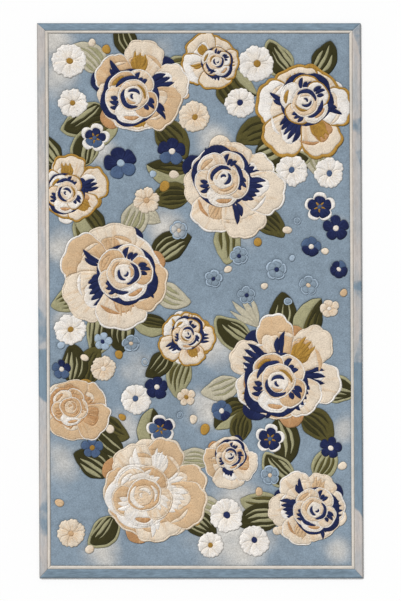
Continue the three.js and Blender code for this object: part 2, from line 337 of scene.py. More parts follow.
LEAVES = [  # rose, bearing in degrees, length, width, bend, yarns
    (0, 200, 210, 120, 0.1, RIMMED), (0, 235, 190, 115, -0.1, HALF), (0, 300, 200, 120, 0.08, DARK),
    (0, 150, 180, 105, -0.08, PALE), (0, 95, 150, 90, 0.1, DEEP),
    (1, 180, 150, 90, 0.1, LIGHT), (1, 330, 150, 85, -0.1, HALF), (1, 285, 140, 85, 0.1, DARK),
    (2, 250, 190, 115, 0.1, DEEP), (2, 215, 180, 110, -0.1, DARK), (2, 110, 180, 110, 0.1, RIMMED),
    (2, 75, 160, 95, -0.1, DEEP), (2, 290, 170, 105, -0.06, PALE),
    (3, 10, 215, 120, 0.1, RIMMED), (3, 45, 180, 110, -0.1, DEEP), (3, 160, 190, 110, 0.1, HALF),
    (3, 200, 170, 105, -0.1, DARK), (3, 310, 170, 95, 0.1, DARK), (3, 265, 180, 105, 0.06, LIGHT),
    (4, 60, 180, 110, 0.1, RIMMED), (4, 110, 170, 105, 0.1, DEEP), (4, 300, 170, 95, -0.1, LIGHT),
    (5, 20, 190, 110, 0.1, DEEP), (5, 345, 170, 95, -0.1, PALE), (5, 110, 190, 110, 0.1, HALF),
    (5, 80, 170, 105, -0.1, PALE), (5, 245, 200, 115, 0.1, RIMMED), (5, 280, 170, 105, -0.1, DEEP),
    (5, 200, 150, 90, 0.1, LIGHT),
    (6, 150, 160, 90, 0.1, HALF), (6, 270, 170, 95, -0.1, LIGHT), (6, 215, 150, 85, 0.1, DEEP),
    (7, 130, 200, 115, 0.1, RIMMED), (7, 95, 180, 105, -0.1, DEEP), (7, 55, 200, 110, 0.1, HALF),
    (7, 185, 170, 95, 0.1, PALE), (7, 225, 180, 105, -0.1, HALF), (7, 265, 210, 120, 0.1, DEEP),
    (7, 300, 180, 110, 0.1, DARK), (7, 340, 160, 105, 0.1, RIMMED),
    (8, 60, 180, 105, 0.1, DARK), (8, 100, 170, 105, -0.1, DEEP), (8, 300, 170, 95, 0.1, LIGHT),
    (8, 340, 160, 90, -0.1, DARK),
    (9, 80, 180, 110, 0.1, HALF), (9, 125, 200, 115, 0.1, DEEP), (9, 160, 180, 110, -0.1, DEEP),
    (9, 215, 170, 105, 0.1, RIMMED), (9, 350, 170, 105, -0.1, PALE), (9, 320, 170, 95, 0.1, DEEP),
    (10, 120, 180, 105, 0.1, RIMMED), (10, 165, 170, 95, 0.1, LIGHT), (10, 200, 190, 110, -0.1, DEEP),
    (10, 80, 160, 95, -0.1, LIGHT),
    (11, 60, 150, 85, 0.1, DARK), (11, 190, 150, 85, -0.1, PALE),
]

SPRAYS = [  # x, y, turn, length, count
    (-170, 330, 2.6, 150, 4), (300, 640, 0.6, 150, 3), (-420, -640, 4.0, 150, 4),
    (250, -120, 2.2, 170, 4), (-60, 760, 3.6, 150, 4),
]


def leaf(number, bearing, length, width, bend, yarns):
    """A blade whose half width is a power of a sine, widest nearer its base, and its veins."""
    body, vein, split = yarns
    rose = ROSES[number]
    angle = np.radians(bearing)
    x, y = np.array([rose.x, rose.y]) + LEAF_ROOT * rose.size * polar(1, angle)
    turn = angle + 2.2 * bend
    slim = LEAF_FULLNESS * width / length
    forms = []

    def add(spine, half_width, yarn):
        blade = placed(ribbon(spine, half_width), x, y, turn, length)
        forms.append(Form(blade, yarn, LEAF_TOP, (x, y, turn, length, BLADE)))

    def half(t):
        return 0.5 * slim * np.sin(np.pi * t ** 0.80) ** 0.68

    def beside(u, w):
        return np.stack([u, 4 * bend * u * (1 - u) + w], 1)

    t = np.linspace(0, 1, 26)
    add(beside(t, 0 * t), half(t), body)
    if split == "moss":
        add(beside(0.03 + 0.90 * t, 0 * t), 0.80 * half(t), split)
    elif split:
        add(beside(t, 0.52 * half(t)), 0.46 * half(t), split)
    few = (-0.5, 0.02, 0.48) if bearing % 2 else (-0.58, -0.2, 0.2, 0.6)
    swell = np.sin(np.pi * np.linspace(0, 1, 16) ** 0.8) ** 0.7
    for j in (-0.62, -0.28, 0.05) if split else few:
        u = np.linspace(0.04 + 0.16 * abs(j), 0.80 - 0.16 * abs(j) + 0.08 * wobble(bearing, j), 16)
        thick = (0.105 + 0.045 * wobble(bearing, 3 * j)) * slim * swell
        add(beside(u, j * half(u)), 0.5 * thick, vein)
    return forms


def spray(x, y, turn, length, count):
    """Slim leaves that fan from one point, the middle ones longest."""
    forms = []
    for k in range(count):
        off = k - (count - 1) / 2
        outline = stroke((0, 0), (1, 0), 0.10 * off / count, 0.17, 20, 0.8)
        place = (x, y, turn + 0.26 * off, length * (1 - 0.12 * abs(off)))
        forms.append(Form(placed(outline, *place), "fern", SPRAY_TOP, (*place, BLADE)))
    return forms


print(len(LEAVES), "leaves and", len(SPRAYS), "sprays")

# %% [markdown]
# ## Small blossoms and dots
# White and cream blossoms with ragged petals, and small ones in several yarns with five plain
# petals. A navy one can have a slate petal. Those in the ground's own yarn show by their carving
# and a pale rim, partly a painted highlight on the carved edge, and four navy ones lie on a white
# flower. The dots are buds and berries.

# %% Small blossoms and dots
BLOSSOMS = [  # x, y, size, turn, petals, yarn, heart, and True for one on a white flower
    (-560, 1030, 72, 0.2, 7, "white", "gold"), (-545, 850, 62, 0.5, 7, "white", "gold"),
    (250, 1020, 74, 0.1, 7, "white", "gold"), (175, 850, 70, 0.4, 7, "white", "navy"),
    (-20, 790, 64, 0.0, 7, "cream", "gold"), (400, 560, 70, 0.3, 7, "white", "slate"),
    (560, 545, 66, 0.6, 7, "white", "slate"), (-230, 430, 60, 0.3, 6, "cream", "peach"),
    (-560, -130, 66, 0.2, 7, "white", "gold"), (-280, -430, 68, 0.4, 7, "white", "slate"),
    (-420, -300, 56, 0.4, 7, "cream", "white"), (110, -930, 74, 0.1, 7, "white", "navy"),
    (230, -1040, 66, 0.5, 7, "white", "navy"), (40, -1060, 60, 0.7, 7, "white", "gold"),
    (-560, -1010, 60, 0.5, 7, "cream", "peach"),
    (-120, 640, 58, 0.2, 5, "navy", "white"), (-340, 590, 66, 0.6, 5, "navy", "mist"),
    (590, 310, 52, 0.4, 5, "navy", "white"), (480, 230, 44, 0.1, 5, "navy", "white"),
    (600, 130, 40, 0.9, 5, "navy", "white"), (-190, -380, 48, 0.2, 5, "navy", "white"),
    (-600, -300, 44, 0.3, 5, "navy", "white"), (90, -480, 46, 0.3, 5, "navy", "white"),
    (560, -640, 46, 0.1, 5, "navy", "white"), (-470, -640, 46, 0.3, 5, "slate", "gold"),
    (330, 130, 42, 0.2, 5, "sky", "navy"), (170, 190, 40, 0.6, 5, "sky", "navy"),
    (470, 60, 40, 0.3, 5, "sky", "cream"), (560, -40, 40, 0.5, 5, "cream", "white"),
    (200, 20, 36, 0.4, 5, "sky", "navy"), (60, 90, 38, 0.1, 5, "sky", "navy"),
    (-420, -180, 40, 0.1, 5, "mist", "navy"), (-300, -190, 36, 0.5, 5, "sky", "cream"),
    (-60, -420, 42, 0.5, 5, "cream", "gold"), (300, -760, 40, 0.5, 5, "sky", "cream"),
    (-90, 300, 38, 0.5, 5, "sky", "cream"), (520, 400, 64, 0.3, 5, "navy", "slate", True),
    (-450, 700, 60, 0.1, 5, "navy", "slate", True), (-170, -560, 62, 0.5, 5, "navy", "slate", True),
    (300, -600, 60, 0.2, 5, "navy", "slate", True),
]

DOTS = [  # x, y, size, yarn
    (-400, 1080, 20, "gold"), (-460, 1110, 18, "cream"), (330, 930, 22, "cream"), (-60, 880, 18, "peach"),
    (-110, 540, 20, "cream"), (-150, 490, 24, "gold"), (-200, 540, 17, "mist"), (380, 300, 20, "cream"),
    (420, 340, 18, "sky"), (540, 210, 17, "cream"), (400, 180, 15, "mist"), (250, 250, 20, "gold"),
    (280, 60, 16, "cream"), (120, 130, 18, "cream"), (380, -10, 18, "sky"), (620, 30, 18, "peach"),
    (-500, -250, 17, "cream"), (-350, -240, 20, "gold"), (-240, -270, 18, "sky"), (-600, -200, 18, "mist"),
    (-30, -520, 20, "cream"), (20, -560, 24, "gold"), (-90, -500, 17, "sky"), (-390, -560, 20, "cream"),
    (-340, -510, 16, "gold"), (250, -830, 18, "peach"), (330, -1000, 20, "cream"), (-20, -960, 18, "gold"),
    (610, -720, 20, "cream"), (-610, -880, 20, "peach"), (-480, -1080, 20, "cream"),
]

RIMS = {  # reach, length, width, egg and points of the flower underneath, scale of the one on it
    "white": (0.56, 0.98, 0.86, 0.20, 26, 0.78),
    "mist": (0.58, 1.00, 0.98, 0.25, 24, 0.87),
}


def blossom(x, y, size, turn, petals, yarn, heart, ringed=False):
    """Egg-shaped petals round a disc, on a larger flower whose edge shows as a rim where it is
    ringed or in the ground's own yarn. In the ground's own yarn the pale rim is partly a painted
    highlight on the carved edge."""
    top = WHITE_BLOSSOM_TOP if petals > 5 else SMALL_BLOSSOM_TOP
    step = TURN / petals
    scale = 1.0
    forms = []

    def add(outline, form_yarn):
        forms.append(Form(placed(outline, x, y, turn, size), form_yarn, top, (x, y, turn, size, PETAL)))

    if ringed or yarn == "sky":
        rim = "white" if ringed else "mist"
        reach, long, wide, egg, steps, scale = RIMS[rim]
        for k in range(petals):
            add(lobe(reach, k * step, long, wide, egg, steps=steps), rim)
    width = scale * (1.18 if petals > 6 else 0.86) * np.sin(np.pi / petals) / np.sin(np.pi / 5)
    for k in range(petals):
        long = (0.88 + 0.07 * wobble(k, x)) * scale
        wide = width * (1 + 0.10 * wobble(k + 3, y))
        petal = lobe(0.12 * scale + 0.5 * long, k * step, long, wide, 0.30,
                     9 if petals > 5 else 0, 0.075, 40, 1.7 * k)
        add(petal, "slate" if yarn == "navy" and wobble(k, x + y) > 0.7 else yarn)
    if ringed:
        for k in range(petals):
            add(stroke((0, 0), polar(0.42, (k + 0.5) * step), 0, 0.13, 8), "gold")
    disc = 0.15 if ringed else 0.24 if petals == 5 else 0.20
    add(lobe(0, 0, 2 * disc, 2 * disc, 0, steps=14), heart)
    return forms


def dot(x, y, size, yarn):
    """A slightly egg-shaped bud; in the ground's own yarn it has a pale rim, partly a painted highlight."""
    egg = lobe(0, x, 2, 1.7, 0.1, steps=20)
    rings = (("mist", 1.0), ("sky", 0.66)) if yarn == "sky" else ((yarn, 1.0),)
    return [Form(placed(egg, x, y, 0, size * part), ring, DOT_TOP, (x, y, 0.0, size, LOOSE))
            for ring, part in rings]


print(len(BLOSSOMS), "blossoms and", len(DOTS), "dots")

# %% [markdown]
# ## The whole drawing
# The field itself is the first form, and everything else lies over it in the order that a
# tufter's drawing has: sprays, leaves, blossoms, dots, and then the roses, small ones first. No
# hand is quite steady, so every outline but the field's drifts by a millimetre or two.

# %% The whole drawing
ROSE_ORDER = (8, 4, 1, 6, 11, 10, 2, 0, 5, 3, 9, 7)


def drift(points):
    """Moves points by slow and quick waves, up to 2.7 mm each way, as a hand does."""
    x, y = points[:, 0], points[:, 1]
    return points + np.stack([
        1.8 * np.sin(0.031 * x + 0.017 * y + 1.0) + 0.9 * np.sin(0.11 * y - 0.06 * x),
        1.8 * np.sin(0.027 * y - 0.019 * x + 2.0) + 0.9 * np.sin(0.12 * x + 0.05 * y)], 1)


def anticlockwise(outline):
    """The outline, turned round where the sum of its cross products says it runs clockwise."""
    x, y = outline.T
    return outline if np.dot(x, np.roll(y, -1)) > np.dot(y, np.roll(x, -1)) else outline[::-1]


field = np.array([[-1, -1], [1, -1], [1, 1], [-1, 1]]) * [FIELD_X, FIELD_Y]
drawing = [Form(field, "sky", GROUND_TOP, (0.0, 0.0, 0.0, 100.0, LOOSE))]
for draw, table in ((spray, SPRAYS), (leaf, LEAVES), (blossom, BLOSSOMS), (dot, DOTS)):
    for row in table:
        drawing += draw(*row)
for number in ROSE_ORDER:
    drawing += draw_rose(ROSES[number])
drawing[1:] = [form._replace(outline=anticlockwise(drift(form.outline))) for form in drawing[1:]]
YARNS = sorted({form.yarn for form in drawing})
tops = np.array([form.top for form in drawing])
yarn_of = np.array([YARNS.index(form.yarn) for form in drawing])
grain_of = np.array([form.grain for form in drawing], float)
print(len(drawing), "forms in", len(YARNS), "yarns,", sum(len(f.outline) for f in drawing), "points")

# %% [markdown]
# ## The carved pile
# The top of the pile is one sheared surface, a height for every point of the field. A grid of
# squares can't follow the carved outlines, which would come out as stairs, so the points lie on
# the outlines themselves, in rows beside them, and loosely over the rest, and a constrained
# triangulation joins them. Every outline is then a real groove between two colours.

# %% Triangles that follow the outlines
def triangulate(loose):
    """Joins all the outlines and the loose points with triangles. The form on top of a triangle is
    the last of those that cover it."""
    outlines = [form.outline for form in drawing]
    counts = [len(outline) for outline in outlines]
    ends = np.cumsum(counts)
    rings = [list(range(end - count, end)) for end, count in zip(ends, counts)]
    points = np.concatenate(outlines + [loose])
    found = delaunay_2d_cdt(points.tolist(), [], rings, 0, 1e-3, True)
    top = np.array([max(covers) if 0 in covers else -1 for covers in found[5]])
    inside = top >= 0
    return np.array(found[0]), np.array(found[2])[inside], top[inside]


def changes(triangles, top):
    """The edges where one form ends and another starts: their ends and the form on each side."""
    edges = np.concatenate([triangles[:, [0, 1]], triangles[:, [1, 2]], triangles[:, [2, 0]]])
    owner = np.tile(top, 3)
    edges.sort(axis=1)
    order = np.lexsort((edges[:, 1], edges[:, 0]))
    edges, owner = edges[order], owner[order]
    first = np.r_[True, (edges[1:] != edges[:-1]).any(1)]
    start = np.flatnonzero(first)
    last = np.r_[start[1:], len(edges)] - 1
    differ = (owner[start] != owner[last]) | (start == last)
    return edges[start][differ], owner[start][differ], owner[last][differ]


points, triangles, top = triangulate(np.zeros((0, 2)))
edges, near_form, far_form = changes(triangles, top)
groove_length = np.linalg.norm(points[edges[:, 0]] - points[edges[:, 1]], axis=1)
print(len(points), "points,", len(triangles), "triangles,", round(groove_length.sum() / 1000), "m of grooves")

# %% [markdown]
# ## How far from a groove
# The pile falls away towards each groove, so its height needs the distance from every point to
# the nearest groove. A map of 1 mm squares holds it: the squares on a groove are marked, and two
# sweeps, one along each side, spread the squared distance, which gives the true distance and not
# one counted in steps.

# %% The distance map
REACH = 14  # how far the map looks, in squares of 1 mm
MARK_SPACING = 0.7


def samples(a, b, apart):
    """Points about this far apart on each of many straight pieces, whole arrays at once, with the
    number of the piece that each is on."""
    length = np.linalg.norm(b - a, axis=1)
    count = np.maximum(1, np.ceil(length / apart).astype(int))
    which = np.repeat(np.arange(len(a)), count)
    place = np.arange(len(which)) - np.repeat(np.cumsum(count) - count, count)
    t = ((place + 0.5) / count[which])[:, None]
    return a[which] * (1 - t) + b[which] * t, which


def distance_map(marks):
    """The distance from each square to the nearest mark: the least of squared offsets along x, and
    then of those plus squared offsets along y."""
    shape = (int(2 * FIELD_X) + 2 * REACH + 1, int(2 * FIELD_Y) + 2 * REACH + 1)
    far = float(REACH ** 2 * 2)
    squares = np.full(shape, far, np.float32)
    at = np.round(marks + [FIELD_X + REACH, FIELD_Y + REACH]).astype(int)
    squares[at[:, 0], at[:, 1]] = 0
    for axis in (0, 1):
        best = squares.copy()
        for step in range(1, REACH + 1):
            for way in (step, -step):
                best = np.minimum(best, np.roll(squares, way, axis) + step * step)
        squares = best
    return np.sqrt(squares)


def look_up(grid, at):
    """The map's value at any point, blended between its four nearest squares."""
    where = at + [FIELD_X + REACH, FIELD_Y + REACH]
    low = np.clip(np.floor(where).astype(int), 0, np.array(grid.shape) - 2)
    fx, fy = (where - low).T
    i, j = low.T
    return (grid[i, j] * (1 - fx) * (1 - fy) + grid[i + 1, j] * fx * (1 - fy)
            + grid[i, j + 1] * (1 - fx) * fy + grid[i + 1, j + 1] * fx * fy)


on_groove, _ = samples(points[edges[:, 0]], points[edges[:, 1]], MARK_SPACING)
groove_map = distance_map(on_groove)
print("squares within 5 mm of a groove:", round(float((groove_map < 5).mean()), 3))

# %% [markdown]
# ## Rows beside the grooves
# The shears leave a steep wall and then a rounded shoulder, so the mesh needs a row of points
# close to the groove and another where the shoulder ends. A loose lattice fills the rest, and its
# points are shifted a little so that no line shows.

# %% Rows of points
WALL = 1.7  # from the groove to the first row of points
SHOULDER = 4.6  # and to the second
WALL_GAP = 1.6  # the first row keeps one point in each square of this size
SHOULDER_GAP = 2.6
ROW_SPACING = 7.5
CLAIMED = 0.72  # a point of a row has no groove nearer than this share of its offset
LATTICE = 11.0
LATTICE_SHIFT = 0.7  # the square that a lattice point is shifted in, as a share of the spacing
FIELD_MARGIN = 1.2  # no loose point is nearer to the field's edge


def beside_grooves(offset):
    """Points at this distance to both sides of every groove, less those that a nearer groove
    claims."""
    a, b = points[edges[:, 0]], points[edges[:, 1]]
    middle, which = samples(a, b, ROW_SPACING)
    along = (b - a)[which] / groove_length[which, None].clip(1e-6)
    side = np.stack([-along[:, 1], along[:, 0]], 1) * offset
    both = np.concatenate([middle + side, middle - side])
    return both[look_up(groove_map, both) > CLAIMED * offset]


def thinned(candidates, apart):
    """The candidates with only one left in each square of this size."""
    _, first = np.unique(np.floor(candidates / apart).astype(int), axis=0, return_index=True)
    return candidates[np.sort(first)]


def scatter(at, salt):
    """Repeatable noise from 0 to 1 for each point: the fraction of a large sine."""
    return np.abs(np.sin(at[:, 0] * 12.9898 + at[:, 1] * 78.233 + salt) * 43758.5453) % 1.0


x, y = np.meshgrid(np.arange(-FIELD_X, FIELD_X, LATTICE), np.arange(-FIELD_Y, FIELD_Y, LATTICE))
lattice = np.stack([x.ravel(), y.ravel()], 1)
shift = np.stack([scatter(lattice, 1), scatter(lattice, 2)], 1) - 0.5
lattice = lattice + shift * LATTICE_SHIFT * LATTICE
lattice = lattice[look_up(groove_map, lattice) > SHOULDER + 3]
rows = [thinned(beside_grooves(WALL), WALL_GAP), thinned(beside_grooves(SHOULDER), SHOULDER_GAP)]
loose = np.concatenate([*rows, lattice])
loose = loose[(np.abs(loose) < [FIELD_X - FIELD_MARGIN, FIELD_Y - FIELD_MARGIN]).all(1)]
points, triangles, top = triangulate(loose)
edges, near_form, far_form = changes(triangles, top)
print(len(loose), "loose points;", len(points), "points,", len(triangles), "triangles")

# %% [markdown]
# ## The height of the pile
# A groove is cut 3.2 mm below the lower of its two neighbours. From there the pile rises on an
# exponential curve, which is steep at first and level after some millimetres, and the shears leave
# it a few tenths of a millimetre uneven. Little light gets down to a groove, so a painted shade, for
# how deep a point lies, is kept as a number that is 1 in the groove and fades beside it.

# %% Heights
SHOULDER_FALL = 1.7  # mm over which the pile rises from a groove
LIGHT_FALL = 2.4  # mm over which a groove keeps the light out
TUFT_UNEVEN = 0.5  # mm from the lowest tuft to the tallest
SWELL = 0.25

corner_form = np.zeros(len(points), int)
corner_form[triangles.ravel()] = np.repeat(top, 3)
to_groove = look_up(groove_map, points)
height = tops[corner_form] - CARVED * np.exp(-to_groove / SHOULDER_FALL)
height += (TUFT_UNEVEN * (scatter(np.round(points), 3) - 0.5)
           + SWELL * np.sin(0.02 * points[:, 0]) * np.sin(0.017 * points[:, 1]))
groove_bottom = np.minimum(tops[near_form], tops[far_form]) - CARVED
in_groove = np.full(len(points), np.inf)
np.minimum.at(in_groove, edges.ravel(), np.repeat(groove_bottom, 2))
height = np.where(np.isfinite(in_groove), in_groove, height)
# painted shade: 1 in a groove and fading beside it, where little light gets down
deep = np.where(np.isfinite(in_groove), 1.0, np.exp(-to_groove / LIGHT_FALL))
print("pile from", round(float(height.min()), 1), "to", round(float(height.max()), 1), "mm")

# %% [markdown]
# ## Grain and washes
# Three more things are kept with the points for the colours. The grain runs out from a flower's
# middle or along a leaf, so that streaks in a petal point the right way, and the distance from the
# middle lets them gather there. The wash says where the ground's blue turns pale beside the flowers,
# as a painter's water leaves it.

# %% Grain and washes
WASHES = [  # x, y, radius, strength
    (-630, 1120, 95, 1.0), (-610, 960, 110, 0.8), (-420, 640, 90, 0.7), (52, 690, 90, 0.8),
    (330, 700, 90, 0.7), (453, 600, 70, 0.6),
    (-600, 230, 100, 0.8), (-150, 300, 110, 0.8), (200, 270, 90, 0.4), (-580, -80, 90, 0.7),
    (-250, -300, 120, 0.6), (75, -200, 110, 0.8), (30, -470, 110, 0.8), (-420, -1090, 100, 0.8),
    (150, -860, 130, 0.8), (150, -1040, 200, 0.85), (610, -560, 80, 0.7), (590, -1090, 80, 0.7),
    (600, 330, 70, 0.4), (-600, -700, 100, 0.8), (-330, -560, 110, 0.7), (-170, 1090, 80, 0.5),
]


def grain_at(at, form):
    """Streak coordinates of each point: in a flower, 5 times the direction from its middle and the
    distance from it; along a leaf, 9 times the way across it and 1.2 times the way along it. The
    form's number keeps two forms from having the same streaks."""
    x, y, turn, size, kind = grain_of[form].T
    dx, dy = (at[:, 0] - x) / size, (at[:, 1] - y) / size
    radius = np.hypot(dx, dy)
    across = -np.sin(turn) * dx + np.cos(turn) * dy
    along = np.cos(turn) * dx + np.sin(turn) * dy
    apart = 0.37 * form
    petal = np.stack([5 * dx / (radius + 0.02), 5 * dy / (radius + 0.02), radius + apart], 1)
    blade = np.stack([9 * across, 1.2 * along, apart], 1)
    loose_grain = np.stack([at[:, 0] / 60, at[:, 1] / 60, 0 * radius], 1)
    kinds = kind[:, None]
    grain = np.where(kinds == PETAL, petal, np.where(kinds == BLADE, blade, loose_grain))
    return grain, np.where(kind == PETAL, radius, 1.0)


def wash_at(at):
    """The strongest wash at each point, each one falling off as a bell curve."""
    spots = np.array(WASHES, float)
    away = ((at[:, None, :] - spots[None, :, :2]) ** 2).sum(2) / spots[:, 2] ** 2
    return (spots[:, 3] * np.exp(-away)).max(1)


grain, middle_distance = grain_at(points, corner_form)
wash = wash_at(points)
print("points in a wash:", int((wash > 0.3).sum()))

# %% [markdown]
# ## From numbers to meshes
# A mesh takes its points and faces from arrays. One function makes every piece of the rug: it
# leans the points as the real rug's long edges lean, turns millimetres into metres, keeps the
# numbers for the colours and a flat picture of the rug as a UV map, and hands the piece to the frame.

# %% The piece maker
UV_MARGIN = 12  # mm round the rug in its flat picture


def make_piece(name, slot, corners, faces, unrolled=None, **values):
    """A smooth mesh in metres that rides on the rug. Each of values is kept at its points."""
    used, faces = np.unique(faces, return_inverse=True)
    faces = faces.reshape(-1, 3)
    flat = (corners if unrolled is None else unrolled)[used, :2]
    corners = corners[used] * MM
    corners[:, 0] -= LEAN / LENGTH * corners[:, 1]
    mesh = bpy.data.meshes.new(name)
    mesh.from_pydata(corners, [], faces)
    for key, value in values.items():
        value = np.asarray(value, float)[used]
        kind = "FLOAT_VECTOR" if value.ndim == 2 else "FLOAT"
        layer = mesh.attributes.new(key, kind, "POINT")
        layer.data.foreach_set("vector" if value.ndim == 2 else "value", value.ravel())
    uv = mesh.uv_layers.new(name="OFBake")
    half = np.array([WIDTH, LENGTH]) / 2 + UV_MARGIN
    spread = (flat + half) / (2 * half)
    uv.data.foreach_set("uv", spread[faces.ravel()].ravel())
    mesh.polygons.foreach_set("use_smooth", np.ones(len(faces), bool))
    mesh.update()
    piece = bpy.data.objects.new(name, mesh)
    bpy.context.collection.objects.link(piece)
    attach(piece, "root")
    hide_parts("rug")
    print(name, len(used), "points", len(faces), "triangles")
    return piece


solid_points = np.column_stack([points + [0, FIELD_RISE], height])
pile = {}
for number, yarn in enumerate(YARNS):
    own = triangles[yarn_of[top] == number]
    pile[yarn] = make_piece(yarn + "_pile", yarn + "_pile", solid_points, own,
                            grain=grain, middle=middle_distance, wash=wash, deep=deep)

# %% [markdown]
# ## The border
# Round the field runs a pale raised line, and outside it a band that slopes to the rug's edge. Both
# are one section carried along the four sides, so they are a grid: along a side one way and
# across the section the other way. The corners are mitred, and a shear is carved on each mitre.

# %% The border's section
BAND = [  # inset from the rug's edge, and height
    (-0.2, 2.2), (0.0, 4.6), (0.6, 6.9), (1.8, 8.6), (3.6, 9.6), (6.5, 10.2), (11, 10.6), (16, 11.0),
    (21, 11.4), (25.5, 11.8), (29, 12.1), (31.8, 12.3), (33.6, 12.1), (35, 11.3), (36, 10.2), (36.5, 9.2),
]
LINE = [
    (36.5, 9.2), (37, 10.6), (37.8, 12.1), (39, 13.1), (41, 13.7), (43.2, 13.9), (45.4, 13.7),
    (47.3, 13.1), (48.6, 12.1), (49.4, 10.6), (50, 9.0),
]
SIDES = {  # quarter turns from the foot, distance to the side across from it, length
    "foot": (0, LENGTH, WIDTH), "right": (1, WIDTH, LENGTH),
    "head": (2, LENGTH, WIDTH), "left": (3, WIDTH, LENGTH),
}
MITRE_ROWS = (0, 1.2, 2.6, 4.5, 7.5)  # close rows of points beside the mitre
ROW_START = 11  # where the even rows start
ROW_APART = 8
MITRE_CUT = 2.2  # the deepest cut of the shear on a mitre
MITRE_FALL = 1.8  # mm over which it rises again
UNEVEN_FROM = 9.9  # tufts of at least this height are uneven
BORDER_UNEVEN = 0.2


def border_side(side, section):
    """A grid along one side: the section's inset and height across it, and its place along it scaled
    so that each row ends on the mitre, 45 degrees at both corners."""
    quarter, apart, long = SIDES[side]
    inset, high = np.array(section, float).T
    near = np.array(MITRE_ROWS)
    inner = np.linspace(ROW_START, long - ROW_START, int(long / ROW_APART))
    along = np.concatenate([near, inner, long - near[::-1]]) / long
    half = long / 2 - inset
    u = (2 * along[:, None] - 1) * half[None, :]
    v = np.broadcast_to(inset - apart / 2, u.shape)
    z = np.broadcast_to(high, u.shape).copy()
    from_mitre = (half[None, :] - np.abs(u)) / np.sqrt(2)
    floor = np.minimum(high, BACKING + 0.1)[None, :]
    z -= (z - floor).clip(0, MITRE_CUT) * np.exp(-from_mitre / MITRE_FALL)
    flat = np.stack([u.ravel(), v.ravel()], 1)
    uneven = scatter(np.round(flat), 5).reshape(u.shape) - 0.5
    z += np.where(high > UNEVEN_FROM, BORDER_UNEVEN, 0.0)[None, :] * uneven
    steps = np.r_[0, np.cumsum(np.hypot(np.diff(inset), np.diff(high)))]
    rolled = np.broadcast_to(steps - steps[-1] + inset[-1] - apart / 2, u.shape)
    turn = quarter * np.pi / 2
    flat = placed(flat, 0, 0, turn)
    flat[:, 1] += FIELD_RISE * np.broadcast_to(inset / BORDER, u.shape).ravel()
    unrolled = placed(np.stack([u.ravel(), rolled.ravel()], 1), 0, 0, turn)
    rows, columns = u.shape
    first = (np.arange(rows - 1)[:, None] * columns + np.arange(columns - 1)[None, :]).ravel()
    faces = np.concatenate([np.stack([first, first + columns, first + columns + 1], 1),
                            np.stack([first, first + columns + 1, first + 1], 1)])
    return np.column_stack([flat, z.ravel()]), faces, unrolled


corner_points, faces, _ = border_side("foot", BAND)
a, b, c = (corner_points[faces[:, k]] for k in range(3))
print("share of the foot band's faces that point up:", float((np.cross(b - a, c - a)[:, 2] > -1e-9).mean()))

# %% [markdown]
# ## Blotches in the border
# The head and foot bands are blue. The side bands are a grey cream into which the blue has run in
# places, mostly low on both sides. A short table says where each stain begins and ends, once at the
# rug's edge and once at the line, because its ends swing round as they cross the band.

# %% The border's pieces
BLOTCHES = {  # upper and lower end at the rug's edge, upper and lower end at the line, strength
    "left": [(710, 590, 710, 590, 0.18), (-8, -225, -66, -180, 0.55), (-208, -403, -208, -442, 0.95),
             (-900, -1020, -850, -1020, 0.5)],
    "right": [(1260, 1000, 1210, 1150, 0.44), (890, 830, 850, 870, 0.4), (800, 705, 785, 730, 0.6),
              (665, 530, 640, 660, 0.5), (86, 28, 86, 45, 0.6), (40, -12, 50, 30, 0.36),
              (0, -290, -250, -290, 0.44), (-264, -949, -264, -895, 0.98)],
}
BLOTCH_FADE = 5  # mm over which a stain gives way


def blotch_at(side, along, inward):
    """The strongest stain at each point of a side. The ends of a stain swing from their places at the
    edge to their places at the line with the square root of the way in, and fade out softly."""
    if side in ("head", "foot"):
        return np.ones(len(along))
    upper, lower, upper_in, lower_in, strength = np.array(BLOTCHES[side], float).T
    swing = np.sqrt((inward[:, None] / BAND[-1][0]).clip(0, 1))
    below = upper + (upper_in - upper) * swing - along[:, None]
    above = along[:, None] - lower - (lower_in - lower) * swing
    return (strength / (1 + np.exp(-np.minimum(below, above) / BLOTCH_FADE))).max(1)


border = {}
for side in SIDES:
    for part, section in (("band", BAND), ("line", LINE)):
        corner_points, faces, unrolled = border_side(side, section)
        name = side + "_" + part
        inward = (np.array([WIDTH, LENGTH]) / 2 - np.abs(corner_points[:, :2])).min(1)
        slot = "border_pile" if part == "band" else "line_pile"
        border[name] = make_piece(name, slot, corner_points, faces, unrolled, edge=inward,
                                  blotch=blotch_at(side, corner_points[:, 1], inward))

# %% [markdown]
# ## The backing
# A second cloth is glued over the stitches underneath. It is plain-woven cotton, cut flush with
# the pile, and it is the one true sheet of cloth here.

# %% The backing
BACKING_INSET = 0.6
BACKING_POINTS = (29, 49)  # across and along, about 50 mm apart


def backing_sheet():
    """A thin closed slab: a grid on each face, its rim joined by a strip of faces."""
    x, y = (np.linspace(BACKING_INSET - size / 2, size / 2 - BACKING_INSET, count)
            for size, count in zip((WIDTH, LENGTH), BACKING_POINTS))
    grid = np.stack(np.meshgrid(x, y, indexing="ij"), -1).reshape(-1, 2)
    n = len(grid)
    corner_points = np.concatenate([np.column_stack([grid, np.full(n, z)]) for z in (0.0, BACKING)])
    index = np.arange(n).reshape(BACKING_POINTS)
    a, b = index[:-1, :-1].ravel(), index[1:, :-1].ravel()
    c, d = index[1:, 1:].ravel(), index[:-1, 1:].ravel()
    under = np.concatenate([np.stack([a, c, b], 1), np.stack([a, d, c], 1)])
    rim = np.concatenate([index[:-1, 0], index[-1, :-1], index[:0:-1, -1], index[0, :0:-1]])
    after = np.roll(rim, -1)
    wall = np.concatenate([np.stack([rim, after, after + n], 1), np.stack([rim, after + n, rim + n], 1)])
    return corner_points, np.concatenate([under, under[:, ::-1] + n, wall])


backing_points, backing_faces = backing_sheet()
backing = make_piece("backing", "backing", backing_points, backing_faces)
backing.data.polygons.foreach_set("use_smooth", np.zeros(len(backing_faces), bool))
backing.data.uv_layers.remove(backing.data.uv_layers["OFBake"])

